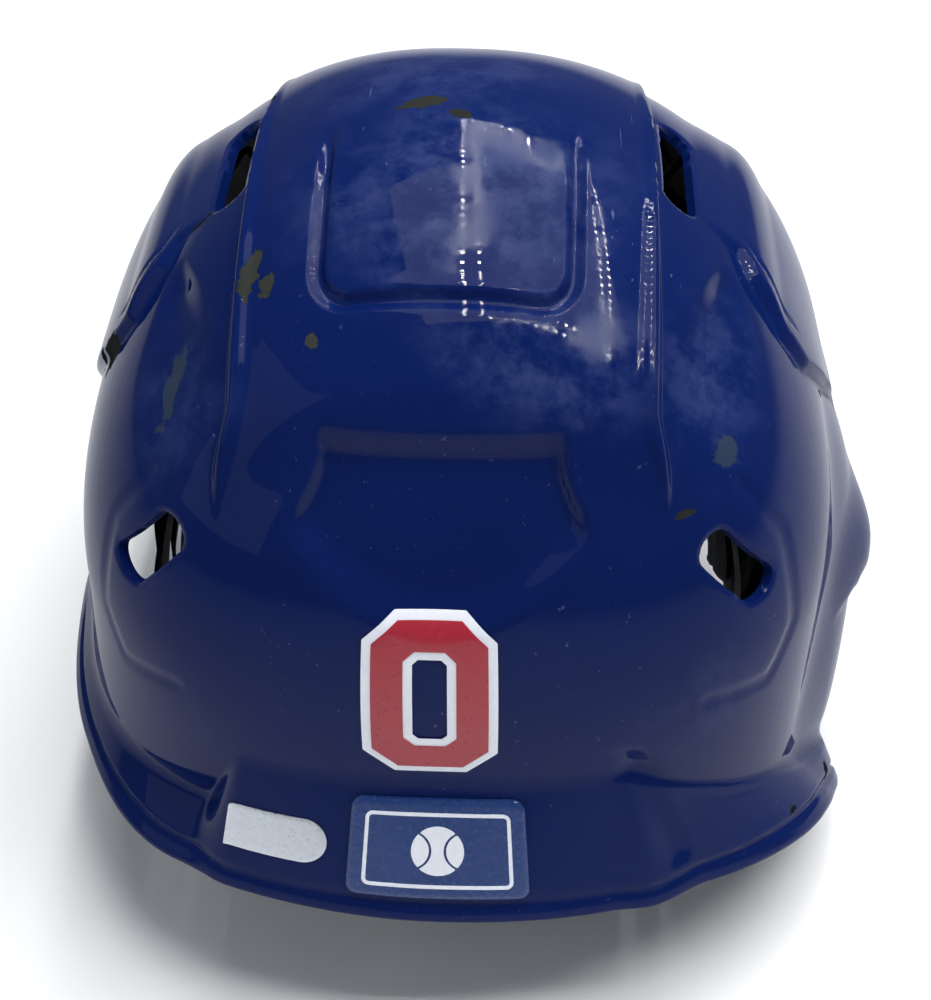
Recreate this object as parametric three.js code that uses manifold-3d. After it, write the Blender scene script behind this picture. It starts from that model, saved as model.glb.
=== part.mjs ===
// Batting helmet with one ear flap: a moulded shell, foam liner sections, comfort pads on hook strips
// and decals. Millimetres. +Y is the front, +X the wearer's right, +Z up. The ear flap's foot stands
// on z = 0.
import * as THREE from 'three';
import Module from 'manifold-3d';
import { mergeVertices } from 'three/addons/utils/BufferGeometryUtils.js';

const wasm = await Module();
wasm.setup();

const DEG = Math.PI / 180;
const { sin, cos, abs, hypot, min, max } = Math;

// Driving dimensions of the shell's outer face.
const RIGHT_WIDTH = 110;  // half width on the ear flap's side
const LEFT_WIDTH = 107;
const FRONT_LENGTH = 124;
const REAR_LENGTH = 114.5;
const CROWN = 230;        // top of the dome, below the raised band
const EQUATOR = 112;      // level of the widest ring, where the dome meets the wall
const FRONT_POWER = 3.3;  // boxiness of the plan at the equator
const REAR_POWER = 2.8;
const SHOULDER = 0.022;   // how far the dome's shoulder is pulled in
const WALL_DEPTH = 62;    // depth over which the wall tucks in below the equator
const WALL = 3.4;         // shell thickness
const LEAST_WALL = 3;     // height of wall left between the equator and the bend above the brim

// Free edge of the shell, by angle from the front (positive to the wearer's right): its height, how
// far the lip or brim stands out from the wall, how far it drops over that, how far the wall above
// tucks in, and the length of wall and lip that the bend between them takes up.
const EDGE = [
  { at: -180, height: 52, out: 17, drop: 39, tuck: 5, bend: 3 },
  { at: -154, height: 52, out: 14, drop: 39, tuck: 5, bend: 3 },
  { at: -146, height: 52, out: 14, drop: 15, tuck: 4, bend: 3 },
  { at: -122, height: 55, out: 8, drop: 15, tuck: -2, bend: 4 },
  { at: -98, height: 62, out: 8, drop: 16, tuck: -4, bend: 6 },
  { at: -76, height: 74, out: 6, drop: 15, tuck: -3, bend: 8 },
  { at: -60, height: 84, out: 8, drop: 12, tuck: -1, bend: 8 },
  { at: -46, height: 88, out: 24, drop: 12, tuck: 0, bend: 8 },
  { at: -28, height: 92, out: 46, drop: 11, tuck: 0, bend: 8 },
  { at: 0, height: 94, out: 54, drop: 10, tuck: 0, bend: 8 },
  { at: 28, height: 92, out: 46, drop: 11, tuck: 0, bend: 8 },
  { at: 46, height: 86, out: 24, drop: 14, tuck: 0, bend: 8 },
  { at: 56, height: 62, out: 8, drop: 16, tuck: 0, bend: 8 },
  { at: 64, height: 26, out: 4, drop: 18, tuck: 1, bend: 8 },
  { at: 73, height: 0, out: 4, drop: 20, tuck: 3, bend: 8 },
  { at: 99, height: 0, out: 9, drop: 20, tuck: 3, bend: 8 },
  { at: 110, height: 18, out: 13, drop: 18, tuck: 1, bend: 6 },
  { at: 124, height: 38, out: 14, drop: 15, tuck: 1, bend: 4 },
  { at: 146, height: 50, out: 12, drop: 27, tuck: 4, bend: 3 },
  { at: 154, height: 51, out: 14, drop: 39, tuck: 5, bend: 3 },
  { at: 180, height: 52, out: 17, drop: 39, tuck: 5, bend: 3 },
];

// Smooth step from 0 at a to 1 at b.
function ramp(a, b, x) {
  const t = min(1, max(0, (x - a) / (b - a)));
  return t * t * (3 - 2 * t);
}

// Cubic through the edge table, level across two stations of equal value.
function edgeAt(angle) {
  const a = ((angle + 180) % 360 + 360) % 360 - 180;
  let i = 0;
  while (i < EDGE.length - 2 && a > EDGE[i + 1].at) i += 1;
  const [p, q] = [EDGE[i], EDGE[i + 1]];
  const before = EDGE[i - 1] ?? { ...EDGE[EDGE.length - 2], at: EDGE[EDGE.length - 2].at - 360 };
  const after = EDGE[i + 2] ?? { ...EDGE[1], at: EDGE[1].at + 360 };
  const span = q.at - p.at;
  const t = (a - p.at) / span;
  const result = {};
  for (const key of ['height', 'out', 'drop', 'tuck', 'bend']) {
    const flat = p[key] === q[key];
    const slopeP = flat || p[key] === before[key] ? 0 : (q[key] - before[key]) / (q.at - before.at);
    const slopeQ = flat || q[key] === after[key] ? 0 : (after[key] - p[key]) / (after.at - p.at);
    result[key] = (2 * t ** 3 - 3 * t ** 2 + 1) * p[key] + (t ** 3 - 2 * t ** 2 + t) * span * slopeP
      + (3 * t ** 2 - 2 * t ** 3) * q[key] + (t ** 3 - t ** 2) * span * slopeQ;
  }
  return result;
}

function planPower(angle) {
  return cos(angle * DEG) > 0 ? FRONT_POWER : REAR_POWER;
}

// Radius of the plan outline at an angle from the front.
function planRadius(angle, power) {
  const s = sin(angle * DEG);
  const c = cos(angle * DEG);
  const width = s > 0 ? RIGHT_WIDTH : LEFT_WIDTH;
  const length = c > 0 ? FRONT_LENGTH : REAR_LENGTH;
  return ((abs(s) / width) ** power + (abs(c) / length) ** power) ** (-1 / power);
}

function polar(angle, radius, z) {
  return new THREE.Vector3(radius * sin(angle * DEG), radius * cos(angle * DEG), z);
}

// Radius of the wall below the equator.
function wallRadius(angle, z) {
  return planRadius(angle, planPower(angle)) - edgeAt(angle).tuck * ramp(0, WALL_DEPTH, EQUATOR - z);
}

// Smooth outer face without its lip: tilt 0 is the crown, 90 the equator, and more goes down the wall.
const WALL_PER_DEGREE = 2;
function bodyPoint(angle, tilt) {
  if (tilt > 90) {
    const z = EQUATOR - (tilt - 90) * WALL_PER_DEGREE;
    return polar(angle, wallRadius(angle, z), z);
  }
  const power = 2 + (planPower(angle) - 2) * sin(tilt * DEG);
  const pull = 1 - SHOULDER * sin(2 * tilt * DEG) ** 2;
  const z = EQUATOR + (CROWN - EQUATOR) * cos(tilt * DEG) * pull;
  return polar(angle, planRadius(angle, power) * sin(tilt * DEG) * pull, z);
}

// Whole outer face down to the free edge, by station: 0 to 1 is the dome, 1 to 2 the wall, 2 to 3 the
// bend and 3 to 4 the lip.
function skinPoint(angle, station) {
  if (station <= 1) return bodyPoint(angle, 90 * station);
  const edge = edgeAt(angle);
  const cornerZ = edge.height + edge.drop;
  const bend = min(edge.bend, EQUATOR - cornerZ - LEAST_WALL);
  const wallEnd = cornerZ + bend;
  if (station <= 2) {
    const z = EQUATOR + (wallEnd - EQUATOR) * (station - 1);
    return polar(angle, wallRadius(angle, z), z);
  }
  const corner = polar(angle, wallRadius(angle, cornerZ), cornerZ);
  const tip = polar(angle, wallRadius(angle, cornerZ) + edge.out, edge.height);
  const lipStart = corner.clone().lerp(tip, bend / corner.distanceTo(tip));
  if (station >= 3) return lipStart.lerp(tip, station - 3);
  const wallFoot = polar(angle, wallRadius(angle, wallEnd), wallEnd);
  return new THREE.QuadraticBezierCurve3(wallFoot, corner, lipStart).getPoint(station - 2);
}

// Outward normal of a face given as a function of two parameters.
function normalOf(face, angle, station) {
  if (station < 1e-6) return new THREE.Vector3(0, 0, 1);
  const da = face(angle + 0.2, station).sub(face(angle - 0.2, station));
  const ds = face(angle, station + 0.002).sub(face(angle, station - 0.002));
  return da.cross(ds).normalize();
}

// Moulded relief: a raised band over the crown, raised side panels outside the top vents with a dimple
// behind each, a pocket in the crown, an arched recess at the rear, and the bulge of the ear flap with
// its hood.
const BAND = { edge: 51.6, flare: 5, height: 4, end: -93 };
const PANEL = { inner: 65, outer: 80, height: 2.6 };
// Rear edge of the side panels: pairs of height and y.
const PANEL_REAR = [[130, 8], [147, -8], [165, -25], [177, -26], [189, -19], [193, -12], [205, -9]];
const DIMPLE = { side: 70, width: 12, y: -52, halfLength: 30, depth: 2 };
const POCKET = { halfWidth: 33, front: -10, rear: -64, depth: 1.4 };
const ARCH = { halfWidth: 35, top: 186, bottom: 146, depth: 2.4 };
const EAR = { y: 4, z: 58, halfLength: 68, halfHeight: 90, height: 13 };
const HOOD = { y: -8, halfLength: 34, height: 5 };

// Smooth hump of height 1 that ends at t = -1 and 1.
function hump(t) {
  return max(0, 1 - t * t) ** 2;
}

// Straight lines through pairs of (x, y).
function lineThrough(pairs, x) {
  const i = min(pairs.length - 2, max(0, pairs.findIndex(([at]) => at > x) - 1));
  const [[x0, y0], [x1, y1]] = pairs.slice(x > pairs[pairs.length - 1][0] ? -2 : i);
  return y0 + (y1 - y0) * min(1, max(0, (x - x0) / (x1 - x0)));
}

function bandRelief(side, y) {
  const edge = BAND.edge + BAND.flare * ramp(-74, -90, y);
  return BAND.height * (1 - ramp(edge - 1, edge + 3, side)) * (1 - ramp(BAND.end + 15, BAND.end, y));
}

function panelRelief(side, y, z) {
  const rear = lineThrough(PANEL_REAR, z);
  const raised = ramp(PANEL.inner, PANEL.outer, side) * ramp(rear - 3, rear + 3, y) * ramp(122, 142, z);
  const dimple = hump(hypot((side - DIMPLE.side) / DIMPLE.width, (y - DIMPLE.y) / DIMPLE.halfLength));
  return PANEL.height * raised - DIMPLE.depth * dimple * ramp(150, 170, z);
}

function pocketRelief(side, y) {
  const across = 1 - ramp(POCKET.halfWidth - 2, POCKET.halfWidth + 1, side);
  return POCKET.depth * across * ramp(POCKET.rear - 1, POCKET.rear + 2, y)
    * (1 - ramp(POCKET.front - 10, POCKET.front + 6, y));
}

function archRelief(side, y, z) {
  const across = 1 - ramp(ARCH.halfWidth - 1, ARCH.halfWidth + 3, side);
  return ARCH.depth * across * ramp(ARCH.bottom, ARCH.top - 10, z) * (1 - ramp(ARCH.top - 4, ARCH.top, z))
    * ramp(-60, -80, y);
}

function earRelief({ x, y, z }) {
  const ear = hypot((y - EAR.y) / EAR.halfLength, (z - EAR.z) / EAR.halfHeight);
  const hood = HOOD.height * ramp(112, 90, z) * ramp(80, 88, z) * hump((y - HOOD.y) / HOOD.halfLength);
  return x > 0 ? EAR.height * (1 - ramp(0.3, 1, ear)) + hood : 0;
}

// Height of the relief above the smooth face at a point of that face.
function relief(p) {
  const side = abs(p.x);
  const clearOfBrow = 1 - ramp(150, 128, p.z) * ramp(0, 40, p.y);
  return (bandRelief(side, p.y) + panelRelief(side, p.y, p.z)) * clearOfBrow + earRelief(p)
    - pocketRelief(side, p.y) - archRelief(side, p.y, p.z);
}

// Point of the shell's outer face with its relief, moved out along the normal by a lift (inwards if
// negative).
function shellPoint(angle, station, lift = 0) {
  const base = skinPoint(angle, station);
  const normal = normalOf(skinPoint, angle, station);
  const wallLike = 1 - ramp(0.35, 0.6, abs(normal.z));
  if (station > 1) normal.z *= 1 - wallLike;
  return base.clone().addScaledVector(normal.normalize(), relief(base) + lift);
}

function solid(geometry) {
  const bare = geometry.clone();
  bare.deleteAttribute('normal');
  bare.deleteAttribute('uv');
  const merged = mergeVertices(bare, 1e-4);
  return new wasm.Manifold(new wasm.Mesh({
    numProp: 3,
    vertProperties: new Float32Array(merged.attributes.position.array),
    triVerts: new Uint32Array(merged.index.array),
  }));
}

function geometryOf(manifold) {
  const mesh = manifold.getMesh();
  const geometry = new THREE.BufferGeometry();
  geometry.setAttribute('position', new THREE.BufferAttribute(new Float32Array(mesh.vertProperties), 3));
  geometry.setIndex(new THREE.BufferAttribute(new Uint32Array(mesh.triVerts), 1));
  return geometry;
}

// Cuts holes, then drops the slivers that the cuts leave where they pass close by a corner.
const SLIVER = 0.04;
function cut(geometry, cutters) {
  const rest = cutters.reduce((body, cutter) => body.subtract(solid(cutter)), solid(geometry));
  return geometryOf(rest.asOriginal().simplify(SLIVER));
}

// Closed body with an outer and an inner face that meet in a rim: a sphere whose upper rings become
// the outer face, centre to rim, and its lower rings the inner face. place(turn, row, outer) gives
// each vertex.
function twoFaced(columns, rows, place) {
  const rings = 2 * rows + 1;
  const sphere = new THREE.SphereGeometry(1, columns, rings);
  const { position, uv } = sphere.attributes;
  for (let i = 0; i < position.count; i += 1) {
    const ring = Math.round((1 - uv.getY(i)) * rings);
    const outer = ring <= rows;
    const p = place(uv.getX(i), outer ? ring : rings - ring, outer);
    position.setXYZ(i, p.x, p.y, p.z);
  }
  sphere.deleteAttribute('normal');
  sphere.deleteAttribute('uv');
  return mergeVertices(sphere, 1e-4);
}

// Two-faced body whose plan is a rounded rectangle. at(u, v, lift) is a point of the face it follows,
// with u and v from -1 to 1; outerLift and innerLift are its two faces; crown rounds the inner face
// off towards its rim.
function pad(at, { outerLift, innerLift, columns = 20, rows = 3, squareness = 5, crown = 0 }) {
  return twoFaced(columns, rows, (turn, row, outer) => {
    const r = row / rows;
    const [c, s] = [cos(2 * Math.PI * turn), sin(2 * Math.PI * turn)];
    const k = r / (abs(c) ** squareness + abs(s) ** squareness) ** (1 / squareness);
    const thickness = (innerLift - outerLift) * (1 - crown * r ** 3);
    return at(k * c, k * s, outer ? outerLift : outerLift + thickness);
  });
}

// Patches of face that pads follow: between two angles and two tilts, and over the crown in x and y.
const mix = (low, high, t) => low + (high - low) * (t + 1) / 2;

function bodyPatch([angleA, angleB], [tiltA, tiltB]) {
  return (u, v, lift) => {
    const [angle, tilt] = [mix(angleA, angleB, u), mix(tiltA, tiltB, v)];
    return bodyPoint(angle, tilt).addScaledVector(normalOf(bodyPoint, angle, tilt), lift);
  };
}

function crownPatch([xA, xB], [yA, yB]) {
  return (u, v, lift) => {
    const [x, y] = [mix(xA, xB, u), mix(yA, yB, v)];
    const angle = Math.atan2(x, y) / DEG;
    const tilt = Math.asin(hypot(x, y) / planRadius(angle, 2.2)) / DEG;
    return bodyPoint(angle, tilt).addScaledVector(normalOf(bodyPoint, angle, max(tilt, 0.5)), lift);
  };
}

function skirtPatch([angleA, angleB], [stationA, stationB]) {
  return (u, v, lift) => shellPoint(mix(angleA, angleB, u), mix(stationA, stationB, v), lift);
}

// The group stands over the middle of its own length and width, rear lip to brim tip and left lip to
// ear flap.
const MIDDLE_X = 3.5;
const MIDDLE_Y = 24;
const group = new THREE.Group();
group.position.set(-MIDDLE_X, -MIDDLE_Y, 0);

function add(name, geometry, color, roughness, metalness = 0) {
  geometry.computeVertexNormals();
  const mesh = new THREE.Mesh(geometry, new THREE.MeshStandardMaterial({ color, roughness, metalness }));
  mesh.name = name;
  group.add(mesh);
}

// Slot with round ends, as a solid along its own z: length and width over all.
function slotCutter(length, width, depth) {
  const half = (length - width) / 2;
  const outline = new THREE.Shape();
  outline.absarc(half, 0, width / 2, -Math.PI / 2, Math.PI / 2);
  outline.absarc(-half, 0, width / 2, Math.PI / 2, 3 * Math.PI / 2);
  outline.closePath();
  return new THREE.ExtrudeGeometry(outline, { depth, bevelEnabled: false, curveSegments: 6 })
    .translate(0, 0, -depth / 2);
}

// Shell: four vent slots and the ear hole go right through it.
const TOP_VENT = { x: 60.8, y: 8.8, z: 205, length: 44, width: 9 };
const REAR_VENT = { x: 76, y: -90, z: 147.3, length: 27, width: 8.4, slope: 49 };
const EAR_HOLE_RADIUS = 17;
const BOTH_SIDES = [-1, 1];
const CUT_DEPTH = 60;

function topVentCutter(side) {
  return slotCutter(TOP_VENT.length, TOP_VENT.width, CUT_DEPTH).rotateZ(Math.PI / 2)
    .translate(side * TOP_VENT.x, TOP_VENT.y, TOP_VENT.z);
}

function rearVentCutter(side) {
  return slotCutter(REAR_VENT.length, REAR_VENT.width, CUT_DEPTH).rotateX(Math.PI / 2)
    .rotateY(side * REAR_VENT.slope * DEG)
    .translate(side * REAR_VENT.x, REAR_VENT.y, REAR_VENT.z);
}

function earHoleCutter(radius, depth) {
  return new THREE.CylinderGeometry(radius, radius, depth, 24).rotateZ(Math.PI / 2)
    .translate(RIGHT_WIDTH, EAR.y, EAR.z);
}

function shell() {
  const stations = [
    ...Array.from({ length: 11 }, (_, i) => i / 10),
    ...[1, 2, 3].map((i) => 1 + i / 3),
    2.5, 3, 3.33, 3.67, 4,
  ];
  const rows = stations.length - 1;
  const body = twoFaced(76, rows, (turn, row, outer) => (
    shellPoint(180 - 360 * turn, stations[row], outer ? 0 : -WALL)));
  const cutters = BOTH_SIDES.flatMap((side) => [topVentCutter(side), rearVentCutter(side)]);
  return cut(body, [...cutters, earHoleCutter(EAR_HOLE_RADIUS, CUT_DEPTH)]);
}
add('shell', shell(), 0x1a2f6b, 0.18);

// Liner: blocks of moulded foam behind the shell, spaced so that the vents stay clear.
const LINER_FACE = -6.6;       // outer face of the liner, clear of the shell's inner relief
const FOAM = 0x2b2d31;
const LINER = { columns: 32, rows: 5, squareness: 7 };
const SIDE_LINER_INNER = -21;
const END_LINER_INNER = -14;
const CROWN_LINER_INNER = -19;
const FLAP_LINER_INNER = -13.5;

function liner(at, innerLift, outerLift = LINER_FACE) {
  return pad(at, { ...LINER, outerLift, innerLift });
}

const foams = {
  crown_liner: liner(crownPatch([-46, 46], [-70, 74]), CROWN_LINER_INNER),
  front_liner: liner(bodyPatch([-35, 35], [50, 92]), END_LINER_INNER),
  rear_liner: liner(bodyPatch([151, 209], [50, 104]), END_LINER_INNER),
  left_liner: liner(bodyPatch([-128, -53], [43, 101]), SIDE_LINER_INNER),
  right_liner: liner(bodyPatch([53, 128], [43, 96]), SIDE_LINER_INNER),
};
for (const [name, foam] of Object.entries(foams)) add(name, foam, FOAM, 0.85);

const flapLiner = pad(skirtPatch([65, 108], [1.32, 3.6]), {
  ...LINER, outerLift: -WALL - 2.4, innerLift: FLAP_LINER_INNER,
});
const EAR_RECESS_RADIUS = 25;
add('flap_liner', cut(flapLiner, [earHoleCutter(EAR_RECESS_RADIUS, CUT_DEPTH)]), FOAM, 0.85);

// Comfort pads, each on a hook strip stuck to the liner. The gap lets the liner's flat facets pass.
const STRIP_GAP = 1.3;
const STRIP_THICKNESS = 1.2;
const PAD_GAP = 0.4;
const STRIP_SHARE = 0.6;      // a strip's length and width as a share of its pad's

function comfortPad(name, patch, linerInner, thickness) {
  const stripFace = linerInner - STRIP_GAP;
  const strip = (u, v, lift) => patch(u * STRIP_SHARE, v * STRIP_SHARE, lift);
  add(`${name}_strip`, pad(strip, {
    outerLift: stripFace, innerLift: stripFace - STRIP_THICKNESS, columns: 16, rows: 2,
  }), 0x17181a, 0.95);
  const padFace = stripFace - STRIP_THICKNESS - PAD_GAP;
  const shape = { outerLift: padFace, innerLift: padFace - thickness, crown: 0.55 };
  add(name, pad(patch, shape), 0x1d1f23, 0.9);
}

const THIN_PAD = 7;
const SIDE_PAD = 9;
comfortPad('brow_pad', bodyPatch([-29, 29], [72, 90]), END_LINER_INNER, THIN_PAD);
comfortPad('rear_pad', bodyPatch([161, 199], [60, 84]), END_LINER_INNER, THIN_PAD);
comfortPad('nape_pad', bodyPatch([163, 197], [88, 102]), END_LINER_INNER, THIN_PAD);
comfortPad('left_crown_pad', crownPatch([-38, -8], [-54, 56]), CROWN_LINER_INNER, SIDE_PAD);
comfortPad('right_crown_pad', crownPatch([8, 38], [-54, 56]), CROWN_LINER_INNER, SIDE_PAD);
comfortPad('left_temple_pad', bodyPatch([-78, -58], [66, 97]), SIDE_LINER_INNER, SIDE_PAD);
comfortPad('left_side_pad', bodyPatch([-122, -94], [66, 97]), SIDE_LINER_INNER, SIDE_PAD);
comfortPad('right_temple_pad', bodyPatch([58, 78], [62, 92]), SIDE_LINER_INNER, SIDE_PAD);
comfortPad('right_side_pad', bodyPatch([94, 122], [62, 92]), SIDE_LINER_INNER, SIDE_PAD);
comfortPad('cheek_pad', skirtPatch([66, 73], [1.6, 3.2]), FLAP_LINER_INNER, THIN_PAD);
comfortPad('jaw_pad', skirtPatch([101, 107], [1.6, 3.2]), FLAP_LINER_INNER, THIN_PAD);

// Decals: thin vinyl that follows the outer face. x runs to the wearer's right and rise up the face.
const DECAL_LIFT = 0.35;
const VINYL = 0.45;
const NUMBER = { x: -2, tilt: 85.2, width: 35, height: 52, band: 13, corner: 8, border: 2.4 };
const TILT_MM = 2.03;         // length of one degree of tilt near the equator
const BADGE = { width: 48, height: 29, rise: 3.6 };
const LABEL = { x: -43.2, width: 26.5, height: 13.5, rise: 2 };

function rearWall(x, rise, lift) {
  const tilt = NUMBER.tilt - rise / TILT_MM;
  const angle = 180 - Math.asin(x / REAR_LENGTH) / DEG;
  const at = bodyPoint(angle, tilt);
  return at.clone().addScaledVector(normalOf(bodyPoint, angle, tilt), relief(at) + lift);
}

function rearLip(x, rise, lift) {
  const edge = edgeAt(180);
  const lipLength = hypot(edge.out, edge.drop) - edge.bend;
  const angle = 180 - Math.asin(x / (REAR_LENGTH + edge.out / 2)) / DEG;
  return shellPoint(angle, 3.5 - rise / lipLength, lift);
}

// Corner points of a rectangle with cut corners, walked once round at a turn from 0 to 1.
function octagon(turn, halfWidth, halfHeight, corner) {
  const points = [
    [halfWidth, -halfHeight + corner], [halfWidth, halfHeight - corner],
    [halfWidth - corner, halfHeight], [-halfWidth + corner, halfHeight],
    [-halfWidth, halfHeight - corner], [-halfWidth, -halfHeight + corner],
    [-halfWidth + corner, -halfHeight], [halfWidth - corner, -halfHeight],
  ];
  const place = turn * points.length;
  const i = Math.floor(place) % points.length;
  const [a, b] = [points[i], points[(i + 1) % points.length]];
  const t = place - Math.floor(place);
  return [a[0] + (b[0] - a[0]) * t, a[1] + (b[1] - a[1]) * t];
}

// Block numeral zero: a band round an octagon, made from a torus whose tube becomes a flat strip.
const STEPS_PER_SIDE = 4;
const CORNER_SHRINK = 2 - Math.SQRT2;   // how much a cut corner shortens per millimetre of inset
// Points of the tube: across the band, and up through its thickness.
const STRIP_SECTION = [
  [1, 0.5], [1, 1], [0, 1], [-1, 1], [-1, 0.5], [-1, 0], [0, 0], [1, 0],
];
function numeral(grow, lift) {
  const tubeSteps = STRIP_SECTION.length;
  const ring = new THREE.TorusGeometry(2, 1, tubeSteps, 8 * STEPS_PER_SIDE);
  const { position, uv } = ring.attributes;
  for (let i = 0; i < position.count; i += 1) {
    const turn = uv.getX(i) % 1;
    const [across, up] = STRIP_SECTION[Math.round(uv.getY(i) * tubeSteps) % tubeSteps];
    const inset = NUMBER.band / 2 - across * (NUMBER.band / 2 + grow);
    const corner = max(NUMBER.corner - inset * CORNER_SHRINK, 1);
    const [x, rise] = octagon(turn, NUMBER.width / 2 - inset, NUMBER.height / 2 - inset, corner);
    const p = rearWall(NUMBER.x + x, rise, lift + up * VINYL);
    position.setXYZ(i, p.x, p.y, p.z);
  }
  ring.deleteAttribute('normal');
  ring.deleteAttribute('uv');
  return mergeVertices(ring, 1e-4);
}
add('numeral_border', numeral(0, DECAL_LIFT), 0xe8eaee, 0.35);
add('numeral_face', numeral(-NUMBER.border, DECAL_LIFT + VINYL + 0.3), 0x9c1f2e, 0.35);

function decal(x, width, height, rise, thickness) {
  const at = (u, v, lift) => rearLip(x + u * width / 2, rise + v * height / 2, lift);
  return pad(at, {
    outerLift: DECAL_LIFT + thickness, innerLift: DECAL_LIFT, columns: 32, rows: 3, squareness: 9,
  });
}
add('badge_plate', decal(0, BADGE.width, BADGE.height, BADGE.rise, 1.4), 0x1f3f7a, 0.3);
add('foil_label', decal(LABEL.x, LABEL.width, LABEL.height, LABEL.rise, VINYL), 0xb9bec6, 0.3, 0.6);

export default group;
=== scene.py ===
"""Looks of a batting helmet with one ear flap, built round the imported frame.

Sizes are millimetres in the helmet's own design frame, whose moulded features mirror in the plane x = 0.
to_row() puts them in the frame's metres. Lights and the floor are in metres.
"""
import math

import bmesh
import bpy
import numpy as np
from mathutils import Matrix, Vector


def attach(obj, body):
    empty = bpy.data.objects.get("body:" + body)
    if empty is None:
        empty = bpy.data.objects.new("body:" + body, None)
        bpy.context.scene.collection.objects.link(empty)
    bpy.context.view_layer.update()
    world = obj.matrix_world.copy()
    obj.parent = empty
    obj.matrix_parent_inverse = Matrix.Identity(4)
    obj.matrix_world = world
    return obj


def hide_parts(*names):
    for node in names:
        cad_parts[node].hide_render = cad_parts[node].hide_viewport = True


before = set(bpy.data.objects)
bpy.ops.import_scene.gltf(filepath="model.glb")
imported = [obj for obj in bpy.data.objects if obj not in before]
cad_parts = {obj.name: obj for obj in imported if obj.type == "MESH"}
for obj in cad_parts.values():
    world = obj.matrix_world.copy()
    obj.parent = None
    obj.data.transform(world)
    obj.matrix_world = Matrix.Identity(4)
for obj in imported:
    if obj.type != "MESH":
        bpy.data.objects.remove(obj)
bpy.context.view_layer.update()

MM = 0.001
MIDDLE = (3.5, 24, 0)  # the frame's origin in the design frame

# --------------------------------------------------------------------------- the shell's outer face
RIGHT_WIDTH, LEFT_WIDTH = 110, 107
FRONT_LENGTH = 124
REAR_LENGTH = 114.5
CROWN = 230
EQUATOR = 112
FRONT_POWER, REAR_POWER = 3.3, 2.8
SHOULDER = 0.022
WALL_DEPTH = 62
WALL = 3.4
WALL_PER_DEGREE = 2
LEAST_WALL = 3

# Free edge by angle from the front, positive to the wearer's right.
# Columns: angle, height, how far the lip stands out, its drop, the wall's tuck, the bend.
EDGE = np.array([
    (-180, 52, 17, 39, 5, 3),
    (-154, 52, 14, 39, 5, 3),
    (-146, 52, 14, 15, 4, 3),
    (-122, 55, 8, 15, -2, 4),
    (-98, 62, 8, 16, -4, 6),
    (-76, 74, 6, 15, -3, 8),
    (-60, 84, 8, 12, -1, 8),
    (-46, 88, 24, 12, 0, 8),
    (-28, 92, 46, 11, 0, 8),
    (0, 94, 54, 10, 0, 8),
    (28, 92, 46, 11, 0, 8),
    (46, 86, 24, 14, 0, 8),
    (56, 62, 8, 16, 0, 8),
    (64, 26, 4, 18, 1, 8),
    (73, 0, 4, 20, 3, 8),
    (99, 0, 9, 20, 3, 8),
    (110, 18, 13, 18, 1, 6),
    (124, 38, 14, 15, 1, 4),
    (146, 50, 12, 27, 4, 3),
    (154, 51, 14, 39, 5, 3),
    (180, 52, 17, 39, 5, 3),
], float)


def ramp(a, b, x):
    """Smooth step from 0 at a to 1 at b."""
    t = np.clip((x - a) / (b - a), 0, 1)
    return t * t * (3 - 2 * t)


def edge_slopes():
    """Angles of the table and the slope of each column at each row, level at flats."""
    at = EDGE[:, 0]
    before = np.vstack([EDGE[-2] - [360, 0, 0, 0, 0, 0], EDGE[:-1]])
    after = np.vstack([EDGE[1:], EDGE[1] + [360, 0, 0, 0, 0, 0]])
    slope = (after - before)[:, 1:] / (after - before)[:, :1]
    level = (EDGE[:, 1:] == before[:, 1:]) | (EDGE[:, 1:] == after[:, 1:])
    return at, np.where(level, 0, slope)


EDGE_AT, EDGE_SLOPE = edge_slopes()


def edge_at(angle):
    """Height, out, drop, tuck and bend of the edge, by a cubic through the table."""
    a = (np.asarray(angle, float) + 180) % 360 - 180
    i = np.clip(np.searchsorted(EDGE_AT, a, side="right") - 1, 0, len(EDGE_AT) - 2)
    span = (EDGE_AT[i + 1] - EDGE_AT[i])[..., None]
    t = (a - EDGE_AT[i])[..., None] / span
    value = ((2 * t**3 - 3 * t**2 + 1) * EDGE[i, 1:] + (t**3 - 2 * t**2 + t) * span * EDGE_SLOPE[i]
             + (3 * t**2 - 2 * t**3) * EDGE[i + 1, 1:] + (t**3 - t**2) * span * EDGE_SLOPE[i + 1])
    return np.moveaxis(value, -1, 0)


def plan_power(angle):
    """Boxiness of the plan outline at the equator."""
    return np.where(np.cos(np.radians(angle)) > 0, FRONT_POWER, REAR_POWER)


def plan_radius(angle, power):
    """Radius of the plan outline at an angle from the front."""
    s = np.sin(np.radians(angle))
    c = np.cos(np.radians(angle))
    width = np.where(s > 0, RIGHT_WIDTH, LEFT_WIDTH)
    length = np.where(c > 0, FRONT_LENGTH, REAR_LENGTH)
    return ((np.abs(s) / width)**power + (np.abs(c) / length)**power)**(-1 / power)


def polar(angle, radius, z):
    """Point at an angle from the front, a radius and a height."""
    a = np.radians(angle)
    return np.stack(np.broadcast_arrays(radius * np.sin(a), radius * np.cos(a), z), -1)


def wall_radius(angle, z):
    """Radius of the wall below the equator, drawn in by the tuck."""
    tuck = edge_at(angle)[3]
    return plan_radius(angle, plan_power(angle)) - tuck * ramp(0, WALL_DEPTH, EQUATOR - z)


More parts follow.
